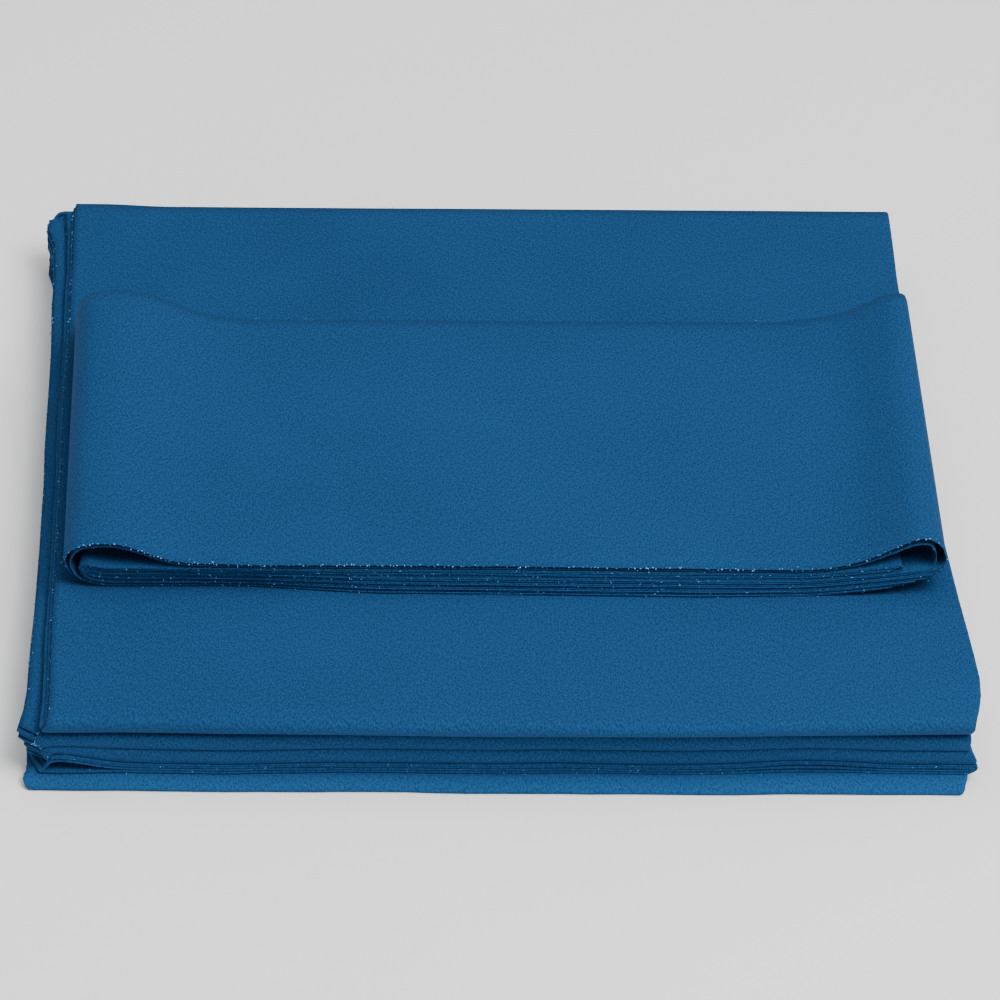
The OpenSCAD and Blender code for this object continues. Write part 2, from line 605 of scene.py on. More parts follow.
class Finish(Enum):
    """The finishes in this set."""

    BED = Worsted("bed_worsted", (0.0038, 0.0204, 0.0570), (0.0142, 0.0757, 0.2120), (0.03, 0.15, 0.38))
    RAIL = Worsted("rail_worsted", (0.0039, 0.0206, 0.0578), (0.0143, 0.0764, 0.2140), (0.03, 0.15, 0.38))
    THREAD = ThreadFinish("thread_ends", (0.014, 0.085, 0.24), (0.14, 0.42, 0.80))


# ---- thread ends ------------------------------------------------------------


@dataclass
class ThreadEnds:
    """Short yarn ends along a cut edge, scattered by a Geometry Nodes tree."""

    spacing: float = 1.5 * MM
    length: float = 1.0 * MM
    radius: float = 0.14 * MM
    keep: float = 0.6
    seed: int = 3

    TREE = "thread_ends"
    SIDES = 5
    # points of one thread: a ring and a middle at each end
    POINTS = 2 * SIDES + 2

    @classmethod
    def tree(cls) -> bpy.types.NodeTree:
        """Finds the scattering tree, and builds it the first time.

        Returns:
            The Geometry Nodes tree.
        """
        found = bpy.data.node_groups.get(cls.TREE)
        if found:
            return found
        tree = bpy.data.node_groups.new(cls.TREE, "GeometryNodeTree")
        sockets = tree.interface
        sockets.new_socket(name="Geometry", in_out="INPUT", socket_type="NodeSocketGeometry")
        for name in ("Spacing", "Thread Length", "Thread Radius", "Keep"):
            sockets.new_socket(name=name, in_out="INPUT", socket_type="NodeSocketFloat")
        sockets.new_socket(name="Seed", in_out="INPUT", socket_type="NodeSocketInt")
        sockets.new_socket(name="Material", in_out="INPUT", socket_type="NodeSocketMaterial")
        sockets.new_socket(name="Geometry", in_out="OUTPUT", socket_type="NodeSocketGeometry")
        nodes = NodeTree(tree)
        given = nodes.add("NodeGroupInput").outputs
        curve = nodes.add("GeometryNodeMeshToCurve", Mesh=given["Geometry"]).outputs["Curve"]
        points = nodes.add(
            "GeometryNodeResampleCurve", {"mode": "LENGTH"}, Curve=curve, Length=given["Spacing"]
        ).outputs["Curve"]
        jitter = cls._random(nodes, "FLOAT_VECTOR", (-1.0, -1.0, -1.0), (1.0, 1.0, 1.0), given["Seed"], 1)
        shift = nodes.add("ShaderNodeVectorMath", {"operation": "SCALE"})
        nodes.fill(shift, 0, jitter)
        nodes.fill(shift, "Scale", nodes.maths("MULTIPLY", given["Spacing"], 0.35))
        moved = nodes.add("GeometryNodeSetPosition", Geometry=points, Offset=shift.outputs[0]).outputs[0]
        outward = nodes.add("GeometryNodeInputNamedAttribute", {"data_type": "FLOAT_VECTOR"}, Name="outward")
        lean = cls._random(nodes, "FLOAT_VECTOR", (-0.9, -0.9, -0.9), (0.9, 0.9, 0.9), given["Seed"], 2)
        aim = nodes.add("ShaderNodeVectorMath", {"operation": "ADD"})
        nodes.fill(aim, 0, outward.outputs["Attribute"])
        nodes.fill(aim, 1, lean)
        turn = nodes.add("FunctionNodeAlignRotationToVector", {"axis": "Z"}, Vector=aim.outputs[0]).outputs[0]
        thread = nodes.add("GeometryNodeMeshCone", {"fill_type": "TRIANGLE_FAN"}, Depth=1.0)
        nodes.fill(thread, "Vertices", cls.SIDES)
        nodes.fill(thread, "Radius Top", 0.45)
        nodes.fill(thread, "Radius Bottom", 1.0)
        stretch = cls._random(nodes, "FLOAT", 0.45, 1.25, given["Seed"], 3)
        size = nodes.add("ShaderNodeCombineXYZ")
        nodes.fill(size, 0, given["Thread Radius"])
        nodes.fill(size, 1, given["Thread Radius"])
        nodes.fill(size, 2, nodes.maths("MULTIPLY", given["Thread Length"], stretch))
        chosen = nodes.add("FunctionNodeCompare", {"data_type": "FLOAT", "operation": "LESS_THAN"})
        nodes.fill(chosen, 0, cls._random(nodes, "FLOAT", 0.0, 1.0, given["Seed"], 4))
        nodes.fill(chosen, 1, given["Keep"])
        scattered = nodes.add(
            "GeometryNodeInstanceOnPoints",
            Points=moved,
            Selection=chosen.outputs[0],
            Instance=thread.outputs["Mesh"],
            Rotation=turn,
            Scale=size.outputs[0],
        )
        real = nodes.add("GeometryNodeRealizeInstances", Geometry=scattered.outputs[0])
        painted = nodes.add("GeometryNodeSetMaterial", Geometry=real.outputs[0], Material=given["Material"])
        nodes.add("NodeGroupOutput", Geometry=painted.outputs[0])
        return tree

    @staticmethod
    def _random(nodes: NodeTree, kind: str, low: object, high: object, seed: object, extra: int) -> object:
        """Adds a Random Value node with its own seed.

        Args:
            nodes: the tree that it goes in.
            kind: the type of the value.
            low: the lowest value.
            high: the highest value.
            seed: output socket with the seed of the tree.
            extra: what is added to that seed.

        Returns:
            The random value.
        """
        node = nodes.add("FunctionNodeRandomValue", {"data_type": kind})
        number = nodes.tree.nodes.new("FunctionNodeIntegerMath")
        number.operation = "ADD"
        nodes.fill(number, 0, seed)
        nodes.fill(number, 1, extra)
        nodes.fill(node, "Seed", number.outputs[0])
        used = [s for s in node.inputs if s.enabled and s.name in ("Min", "Max")]
        nodes.fill(node, list(node.inputs).index(used[0]), low)
        nodes.fill(node, list(node.inputs).index(used[1]), high)
        return next(s for s in node.outputs if s.enabled)

    def scatter(
        self, name: str, edges: list[tuple[np.ndarray, np.ndarray]], finish: bpy.types.Material
    ) -> bpy.types.Object:
        """Scatters thread ends along edges.

        Args:
            name: the new object's name.
            edges: for each edge, its points and the outward direction at each point.
            finish: the threads' material.

        Returns:
            A plain mesh object with all the thread ends.
        """
        points = np.concatenate([e[0] for e in edges])
        outward = np.concatenate([e[1] for e in edges])
        links: list[tuple[int, int]] = []
        start = 0
        for places, _ in edges:
            links += [(start + i, start + i + 1) for i in range(len(places) - 1)]
            start += len(places)
        line = bpy.data.meshes.new(name + "_line")
        line.from_pydata(points.tolist(), links, [])
        attribute = line.attributes.new("outward", "FLOAT_VECTOR", "POINT")
        attribute.data.foreach_set("vector", outward.astype(np.float32).ravel())
        holder = bpy.data.objects.new(name + "_line", line)
        bpy.context.scene.collection.objects.link(holder)
        modifier = holder.modifiers.new("threads", "NODES")
        modifier.node_group = self.tree()
        values = {
            "Spacing": self.spacing,
            "Thread Length": self.length,
            "Thread Radius": self.radius,
            "Keep": self.keep,
            "Seed": self.seed,
            "Material": finish,
        }
        for item in modifier.node_group.interface.items_tree:
            if item.in_out == "INPUT" and item.name in values:
                modifier[item.identifier] = values[item.name]
        bpy.context.view_layer.update()
        evaluated = holder.evaluated_get(bpy.context.evaluated_depsgraph_get())
        mesh = bpy.data.meshes.new_from_object(evaluated)
        mesh.name = name
        threads = bpy.data.objects.new(name, mesh)
        bpy.context.scene.collection.objects.link(threads)
        bpy.data.objects.remove(holder)
        if not mesh.materials:
            mesh.materials.append(finish)
        return threads


# ---- baking a piece's transform ---------------------------------------------


@dataclass
class Crease:
    """Plane between two bodies, which a folded sheet crosses."""

    below: str
    above: str
    start: tuple[float, float, float]
    end: tuple[float, float, float]

    def share(self, piece: bpy.types.Object, together: int = 1) -> None:
        """Bakes the piece's transform; the piece isn't given to either body.

        Args:
            piece: the object to share.
            together: how many points in a row stay as one, such as those of one thread.
        """
        if together == 1:
            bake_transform(piece)
            return
        places = np.empty(len(piece.data.vertices) * 3, dtype=np.float32)
        piece.data.vertices.foreach_get("co", places)
        groups = places.reshape(-1, together, 3)
        gathered = np.repeat(groups.mean(axis=1, keepdims=True), together, axis=1)
        piece.data.vertices.foreach_set("co", np.ascontiguousarray(gathered).ravel())
        piece.data.update()
        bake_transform(piece)
        piece.data.vertices.foreach_set("co", places)
        piece.data.update()


# ---- the bed cloth ----------------------------------------------------------


@dataclass
class BedCloth:
    """One sheet, folded in four across and in nine along.

    Its first end lies at the front as the third panel from below. From there it goes back,
    forward as the second panel, back as the lowest, round the back to the fourth, and then
    to and fro to the top leaf.
    """

    width: float = 375.0 * MM
    depth: float = 350.0 * MM
    pitch: float = 1.0 * MM
    thickness: float = 0.88 * MM
    end_step: float = 3.9 * MM
    fold_steps: tuple[float, float] = (4.0 * MM, 3.3 * MM)
    front_nose_lean: float = 1.7 * MM
    sink_back: float = 3.0 * MM
    sink_down: float = 2.65 * MM
    # strength of the painted highlight on the front of the lowest fold
    lowest_front_painted_light: float = 9.0
    run_steps: int = 42
    along_steps: int = 21
    nodes: tuple[str, str] = ("bed_cloth_lower_folds", "bed_cloth_top_leaf")
    # How far each panel's left ends stand in from the widest, in the order along the cloth:
    # third, second, lowest, fourth to eighth panel, top leaf.
    top_edge_in: tuple[float, ...] = (3.5, 2.0, 1.2, 2.4, 0.6, 2.6, 1.2, 8.2, 10.8)
    inner_edge_in: tuple[float, ...] = (2.4, 3.0, 2.5, 1.2, 2.0, 0.4, 2.8, 8.8, 10.4)
    nose_in: tuple[float, ...] = (1.0, 1.4, 0.6, 1.0, 0.4, 1.5, 0.3, 7.6, 9.4)
    cut: tuple[float, float] = (0.0, 0.0)

    @property
    def panel(self) -> float:
        """Thickness of one panel, which is four plies."""
        return 4.0 * self.pitch

    def across(self) -> FoldPath:
        """Draws the fold across the width: out, back, out and back, with raw ends at the left.

        Returns:
            The path, in width and height.
        """
        right, left, p = self.width / 2.0, -self.width / 2.0, self.pitch
        skin = self.thickness / 2.0
        outer, inner = 1.5 * p, 0.5 * p
        path = FoldPath((left, outer)).run(right - outer - skin, self.run_steps)
        path.turn(-outer, outer, 9).run(left + inner + skin, self.run_steps)
        path.turn(-inner, inner, 6).run(right - outer - skin, self.run_steps)
        return path.turn(inner, inner, 6).run(left, self.run_steps)

    def along(self) -> FoldPath:
        """Draws the fold along the depth, from the first end to the top leaf's back edge.

        Returns:
            The path, in depth and height.
        """
        front, back, t = -self.depth / 2.0, self.depth / 2.0, self.panel
        n, r = self.along_steps, self.panel / 2.0
        level = [(k + 0.5) * t for k in range(9)]
        path = FoldPath((front + self.end_step, level[2])).run(back - 2 * t, n)
        path.turn(level[1], r, 8).run(front + t, n)
        path.turn(level[0], r, 8).run(back - 2 * t, n)
        path.turn(level[3], 3 * r, 14).run(front + self.fold_steps[0] + t, n)
        path.turn(level[4], r, 8).run(back - t, n)
        path.turn(level[5], r, 8).run(front + self.fold_steps[1] + t, n)
        path.turn(level[6], r, 8).run(back - t, n)
        path.turn(level[7], r, 8).run(front + t, n)
        return path.turn(level[8], r, 10).run(back, n)

    def grid(self) -> ClothGrid:
        """Maps the flat cut through both folds and takes the regularity away.

        Returns:
            The folded cloth.
        """
        a_points, _, a_stations, a_length = self.across().arrays()
        b_points, b_normals, b_stations, b_length = self.along().arrays()
        self.cut = (float(a_length[-1]), float(b_length[-1]))
        x = np.repeat(a_points[:, 0][:, None], len(b_points), axis=1)
        lift = a_points[:, 1][:, None]
        y = b_points[:, 0][None, :] + b_normals[:, 0][None, :] * lift
        z = b_points[:, 1][None, :] + b_normals[:, 1][None, :] * lift
        ply = np.repeat(a_stations[:, None], len(b_points), axis=1)
        row = np.repeat(b_stations[None, :], len(a_points), axis=0)
        x = self._staircase(x, y, z, ply, row)
        sunk = self._sink(y, z, row)
        y, z = self._stagger(x, y, z, ply, row), self._loosen(x, y, z)
        y, z = y + self.sink_back * sunk, z - self.sink_down * sunk
        turn_u = 1.0 - 2.0 * np.abs(ply - np.round(ply))
        turn_v = 1.0 - 2.0 * np.abs(row - np.round(row))
        # painted highlight: the front of the lowest fold is made paler, standing in for the light that falls
        # on it
        lowest = ease(2.0 - np.abs(row - 1.5) / 0.5)
        lowest_painted_highlight = self.lowest_front_painted_light * lowest * ease((-self.depth / 2.0 + 0.012 - y) / 0.008)
        fold = np.maximum(1.0 - turn_u, 1.0 - turn_v) + lowest_painted_highlight
        return ClothGrid(np.stack([x, y, z], axis=-1), fold)

    def _staircase(
        self, x: np.ndarray, y: np.ndarray, z: np.ndarray, ply: np.ndarray, row: np.ndarray
    ) -> np.ndarray:
        """Moves the left ends in by panel, and lets the right folds wander.

        Args:
            x: distance of each point to the right, in metres.
            y: distance of each point to the back, in metres.
            z: height of each point, in metres.
            ply: station of each point on the fold across.
            row: station of each point on the fold along.

        Returns:
            The new x of each point.
        """
        order = np.arange(9)
        top_edge = np.interp(row, order, self.top_edge_in) * MM
        inner_edge = np.interp(row, order, self.inner_edge_in) * MM
        nose = np.interp(row, order, self.nose_in) * MM
        inset = np.where(ply < 0.5, top_edge, np.where(ply > 2.5, inner_edge, nose))
        inset = inset + 0.4 * MM * wave(y, 0.13, 2.0) + 0.3 * MM * wave(y, 0.045, 5.0)
        front = -self.depth / 2.0
        near = ease((front + 0.030 - y) / 0.026)
        upper = ease((z - 29.0 * MM) / (3.0 * MM))
        below = 1.0 - upper
        lower_left = [(-175, -1.8), (-168, -1.2), (-153, 0.4), (-91, 2.2), (41, 2.6), (175, 1.0)]
        inset = inset + curve(y, lower_left) * below
        heights = [
            (0, 6.5), (1, 2.6), (2.2, 1.0), (4.8, -0.6), (7.5, -1.6), (9, -0.6), (12, 0.4), (15, 1.0),
            (18, 0.2), (21, -2.2), (23.2, -2.8), (26, -3.0), (28.5, -1.8), (30, 0),
        ]
        inset = inset + curve(z, heights, 0.5) * near
        # the front folds' left corners are round, and stand in from the raw edges behind them
        tip = ease((front + 0.0125 - y) / 0.005)
        inset = inset + 8.3 * MM * tip * curve(z, [(0, 100), (6, 150), (9, 1000), (28, 1000), (30, 0)], 0.5)
        # behind them the lower panels reach further to the left at the back
        inset = inset - 3.5 * MM * ease((y - 0.155) / 0.012) * below
        share = np.clip((self.width / 2.0 - x) / self.width, 0.0, 1.0) ** 1.6
        # right side: a soft bulge near the front in the upper folds, and small steps below it
        out = ease((x - 0.06) / 0.12)
        side = [
            (-176, -0.5), (-170, 1.0), (-160, 3.6), (-146, 4.8), (-121, 3.4), (-97, 1.7), (-60, -0.3),
            (-30, -2.1), (108, -2.2), (150, -1.0), (175, -0.6),
        ]
        bulge = curve(y, side, 5.0) * upper
        steps = [
            (0, -2.2), (1.5, -1.2), (2.2, -1.0), (4.8, -0.5), (7.5, 1.2), (9, 2.6), (10.5, 4.6), (12.7, 4.4),
            (15, 3.4), (18, 2.0), (23.2, 0.3), (28.5, 0.6), (31, 1.0),
        ]
        slant = curve(z, steps, 0.6) * near * below
        drift = (0.5 * MM * wave(y + 1.7 * z, 0.16, 8.0) - 0.8 * MM) * below
        return x + inset * share + out * (bulge + slant + drift)

    def _sink(self, y: np.ndarray, z: np.ndarray, row: np.ndarray) -> np.ndarray:
        """Returns how much each point of the lower front folds sinks in with them, 0 to 1."""
        near = ease((-self.depth / 2.0 + 0.040 - y) / 0.032)
        return near * (row < 6.5) * np.clip(z / (8.0 * MM), 0.0, 1.0)

    def _stagger(
        self, x: np.ndarray, y: np.ndarray, z: np.ndarray, ply: np.ndarray, row: np.ndarray
    ) -> np.ndarray:
        """Moves the front folds and ends to and fro.

        Args:
            x: distance of each point to the right, in metres.
            y: distance of each point to the back, in metres.
            z: height of each point, in metres.
            ply: station of each point on the fold across.
            row: station of each point on the fold along.

        Returns:
            The new y of each point.
        """
        front = -self.depth / 2.0
        near = ease((front + 0.045 - y) / 0.045)
        top = ease(row - 6.6)
        # the lowest fold's face slopes down to the front
        lowest = ease(2.0 - np.abs(row - 1.5) / 0.5) * ease((front + 0.030 - y) / 0.022)
        held_back = curve(x, [(-175, -2.4), (-150, -1.6), (-60, -1.3), (-20, -0.8), (40, 0)], 8.0)
        forward = lowest * (0.5 * MM + 0.62 * (self.panel - z) + held_back)
        ragged = 0.4 * MM * wave(x, 0.09, 3.0) * (1.0 - top)
        # the folds in the middle are pressed flat against each other
        middle = ease((row - 2.6) / 0.4) * ease((7.0 - row) / 0.4)
        gone = np.maximum(y - front - np.where(row < 4.5, *self.fold_steps), 0.0)
        pressed = -0.66 * gone * ease(1.0 - (gone - 4.0 * MM) / (12.0 * MM)) * middle
        # the first end: the four plies' edges aren't level
        end = ease(0.6 - row) * near
        edges = np.interp(ply, [0, 1, 2, 3], [0.6, -0.2, 0.2, 0.5]) * MM + 0.4 * MM * wave(x, 0.21, 6.0)
        # the top fold leans back below, so that a deep shadow lies under it
        lean = self.front_nose_lean * ease((34.5 * MM - z) / (6.5 * MM)) * top
        tight = ease((front + 0.016 - y) / 0.016)
        line = [
            (-175, 2.2), (-160, 2.4), (-131, 2.6), (-100, 1.6), (-69, 0.5), (-30, -0.6), (10, -1.2),
            (84, -0.9), (141, 0.5), (169, 2.0), (190, 2.6),
        ]
        bow = curve(x, line, 12.0) * near * top
        # the back left corners aren't level either
        corner = ease((y - 0.150) / 0.02) * ease((-0.135 - x) / 0.03)
        behind = np.where(row < 7.5, 4.6 * MM, 1.8 * MM) * corner
        return y + near * ragged - forward + pressed + end * edges + tight * lean + bow + behind

    def _loosen(self, x: np.ndarray, y: np.ndarray, z: np.ndarray) -> np.ndarray:
        """Opens the gaps of the loose first end, and lets the surfaces roll.

        Args:
            x: distance of each point to the right, in metres.
            y: distance of each point to the back, in metres.
            z: height of each point, in metres.

        Returns:
            The new z of each point.
        """
        front = ease((-self.depth / 2.0 + 0.060 - y) / 0.050)
        along = x + self.width / 2.0
        start = np.clip((along - 9.5 * MM) / (3.6 * MM), 0.0, 1.0)
        mouth = np.sqrt(start * (2.0 - start)) * ease(1.0 - (along - 14.0 * MM) / 0.027)
        eye = 4.4 * MM * mouth + 0.7 * MM * bump(x, 0.120, 0.035) + 0.12 * MM * (1.0 + wave(x, 0.10, 1.0))
        above = ease((z - 8.7 * MM) / (0.6 * MM)) * (1.0 - ease((z - 12.0 * MM) / (14.0 * MM)))
        dip = 0.4 * MM * mouth * np.clip(z / (8.0 * MM), 0.0, 1.0) * (1.0 - above) * (z < 9.2 * MM)
        opened = z + (eye * above - dip) * front
        split = 0.7 * MM * bump(x, 0.130, 0.045) + 0.22 * MM * (1.0 + wave(x, 0.085, 4.0))
        above = ease((z - 9.8 * MM) / (0.5 * MM)) * (1.0 - ease((z - 13.0 * MM) / (11.0 * MM)))
        opened = opened + split * above * front
        # a slow roll of the folds between the floor and the leaf's own plane
        plane = 8.0 * self.panel
        inside = ease(z / (6.0 * MM)) * ease((plane - 0.3 * MM - z) / (7.0 * MM))
        roll = 0.55 * MM * wave(x, 0.16, 9.0) * (0.35 + 0.65 * front)
        # the leaf's own plies rise softly above that plane
        over = ease((z - plane - 0.6 * MM) / (3.0 * MM))
        swell = 0.5 * MM * (1.0 + wave(x + 0.4 * y, 0.21, 2.5)) * ease((self.depth / 2.0 - y) / 0.05 + 0.2)
        bundle = ease((0.090 - y) / 0.02) * ease((y + 0.112) / 0.02)
        bundle = bundle * ease((x + 0.18) / 0.02) * ease((0.186 - x) / 0.02)
        swell = swell * (1.0 - bundle)
        return opened + inside * roll + over * swell

    def build(self) -> list[bpy.types.Object]:
        """Builds the sheet and its thread ends.

        Returns:
            The finished objects, with the sheet first.
        """
        grid = self.grid()
        sheet = grid.mesh("bed_cloth", self.thickness)
        sheet.data.materials.append(Finish.BED.value.material())
        places = grid.places
        threads = Finish.THREAD.value.material()
        ends = ThreadEnds(spacing=3.2 * MM, length=0.7 * MM, radius=0.13 * MM, keep=0.35, seed=11)
        selvages = ThreadEnds(spacing=1.9 * MM, length=0.9 * MM, radius=0.17 * MM, keep=0.5, seed=23)
        cut_ends = ends.scatter(
            "bed_cloth_end_threads",
            [(places[:, 0], places[:, 0] - places[:, 1]), (places[:, -1], places[:, -1] - places[:, -2])],
            threads,
        )
        sides = selvages.scatter(
            "bed_cloth_side_threads",
            [(places[0], places[0] - places[1]), (places[-1], places[-1] - places[-2])],
            threads,
        )
        loose = ThreadEnds(spacing=1.3 * MM, length=1.7 * MM, radius=0.21 * MM, keep=0.6, seed=31)
        corners = loose.scatter("bed_cloth_corner_threads", self._front_corners(places), threads)
        plane, half = 8.0 * self.panel, 0.07 * MM
        crease = Crease("bed_base", "bed_leaf", (0.0, 0.0, plane - half), (0.0, 0.0, plane + half))
        crease.share(sheet)
        for piece in (cut_ends, sides, corners):
            crease.share(piece, ThreadEnds.POINTS)
        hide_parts(*self.nodes)
        return [sheet, cut_ends, sides, corners]

    def _front_corners(self, places: np.ndarray) -> list[tuple[np.ndarray, np.ndarray]]:
        """Finds the parts of the raw left edges that lie right at the front.

        Args:
            places: points of the folded cloth.

        Returns:
            For each part, its points and the outward direction at each point.
        """
        parts = []
        for edge, beside in ((places[0], places[1]), (places[-1], places[-2])):
            near = np.flatnonzero((edge[:, 1] < -self.depth / 2.0 + 0.012) & (edge[:, 2] < 7.4 * self.panel))
            for part in np.split(near, np.flatnonzero(np.diff(near) > 1) + 1):
                parts.append((edge[part], edge[part] - beside[part]))
        return parts


# ---- the rail strips --------------------------------------------------------


@dataclass
class Bundle:
    """Sizes that the six strips of the bundle share."""

    left: float
    right: float
    front: float
    back: float
    base: float
    middle: float
    axis_x: float
    strips: int = 6
    pitch: float = 0.50 * MM
    thickness: float = 0.42 * MM

    @classmethod
    def from_frame(cls, frame: dict) -> "Bundle":
        """Reads the bundle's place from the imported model.

        Args:
            frame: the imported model, as it is loaded.

        Returns:
            The bundle.
        """
        low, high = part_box("rail_strip_1_upper")
        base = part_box("bed_cloth_top_leaf")[1][2]
        joint = next(j for j in frame["joints"] if j["name"] == "bundle_fold")
        return cls(low[0], high[0], low[1], high[1], base, joint["pos_m"][2], joint["pos_m"][0])

    @property
    def plies(self) -> int:
        """Plies in each half of the bundle."""
        return 2 * self.strips

    def lower_height(self, ply: int) -> float:
        """Height of a ply of the lower half; plies count outwards from the middle."""
        room = (self.middle - self.base) / self.plies
        return self.middle - (ply + 0.5) * room

    def upper_height(self, ply: int) -> float:
        """Height of a ply of the upper half, where the two outermost lie loose."""
        loose = {self.plies - 1: 2.3 * MM, self.plies - 2: 0.7 * MM}.get(ply, 0.0)
        return self.middle + (ply + 0.5) * self.pitch + loose

    def settle(self, flat: np.ndarray) -> np.ndarray:
        """Moves points from the flat bundle to the loose one, which curls up at both ends.

        Args:
            flat: points of the flat bundle.

        Returns:
            The moved points.
        """
        x, y, z = flat.T
        share = np.clip((y - self.front) / (self.back - self.front), 0.0, 1.0)
        # how far the two loose top plies rise, at the front and at the back
        front = [
            (-175, 5.5), (-170.3, 7.1), (-163.7, 9.3), (-157.2, 10.2), (-150.4, 9.6), (-143.8, 7.4),
            (-137.3, 4.2), (-132, 2.0), (-122, 0.7), (-100, 0.1), (-80, 0), (126, 0), (134, 0.2),
            (142.8, 2.1), (150.9, 5.0), (156, 8.0), (161.1, 10.8), (166.9, 14.4), (172.2, 16.4),
            (177.5, 14.6), (180.5, 11.5), (184, 8.0),
        ]
        back = [
            (-174, 9.5), (-169, 12.5), (-162.6, 15.0), (-150, 15.3), (-137, 11.7), (-128.7, 7.0),
            (-120, 3.4), (-110, 1.3), (-99, 0), (125, 0), (137, 1.3), (154, 4.9), (166, 11.5),
            (174, 16.0), (179, 16.5), (184, 15),
        ]
        loop = curve(x, front, 2.5) * (1.0 - share) + curve(x, back, 3.0) * share
        loop = loop * (1.0 - 0.11 * ease((51.2 * MM - z) / (1.0 * MM)) * ease((x - 0.13) / 0.02))
        # how far the plies below them rise: in a short curl on the left, all alike on the right
        left = 7.6 * MM * np.clip((-0.152 - x) / 0.020, 0.0, 1.1) ** 2.2
        right = 7.5 * MM * np.clip((x - 0.124) / 0.059, 0.0, 1.05) ** 1.5
        beyond = np.maximum(ease((x - 0.1668) / 0.004), ease((-0.1662 - x) / 0.0025))
        start = (49.0 - 4.2 * beyond) * MM
        over = ease((z - start) / ((0.8 + 4.4 * beyond) * MM))
        roll = 0.25 * MM * wave(x + 0.3 * y, 0.17, 5.0)
        roll = roll * ease((z - 50.5 * MM) / (1.0 * MM)) * ease(8.0 * share)
        # the whole bundle is lower at the front, and its front edges sag
        low = [
            (-175, 0.9), (-60, 1.0), (-30, 1.1), (0, 1.2), (40, 1.7), (80, 2.2), (105, 2.7), (184, 2.6),
        ]
        flat_part = ease((x + 0.140) / 0.02) * ease((0.142 - x) / 0.02)
        edge = ease((self.front + 4.0 * MM - y) / (5.0 * MM))
        sag = curve(x, low, 10.0) * (1.0 - share) + 0.6 * MM * flat_part * edge
        sag = sag * np.clip((z - self.base) / (16.2 * MM), 0.0, 1.0)
        return np.stack([x, y, z + (left + right) * (1.0 - over) + loop * over + roll - sag], axis=-1)

    def settle_piece(self, piece: bpy.types.Object, together: int = 1) -> None:
        """Settles a piece that was built on the flat bundle.

        Args:
            piece: the object to settle.
            together: how many points in a row are moved as one, such as those of one thread.
        """
        places = np.empty(len(piece.data.vertices) * 3, dtype=np.float32)
        piece.data.vertices.foreach_get("co", places)
        groups = places.reshape(-1, together, 3).astype(float)
        middle = groups.mean(axis=1)
        moved = groups + (self.settle(middle) - middle)[:, None, :]
        piece.data.vertices.foreach_set("co", moved.astype(np.float32).ravel())
        piece.data.update()


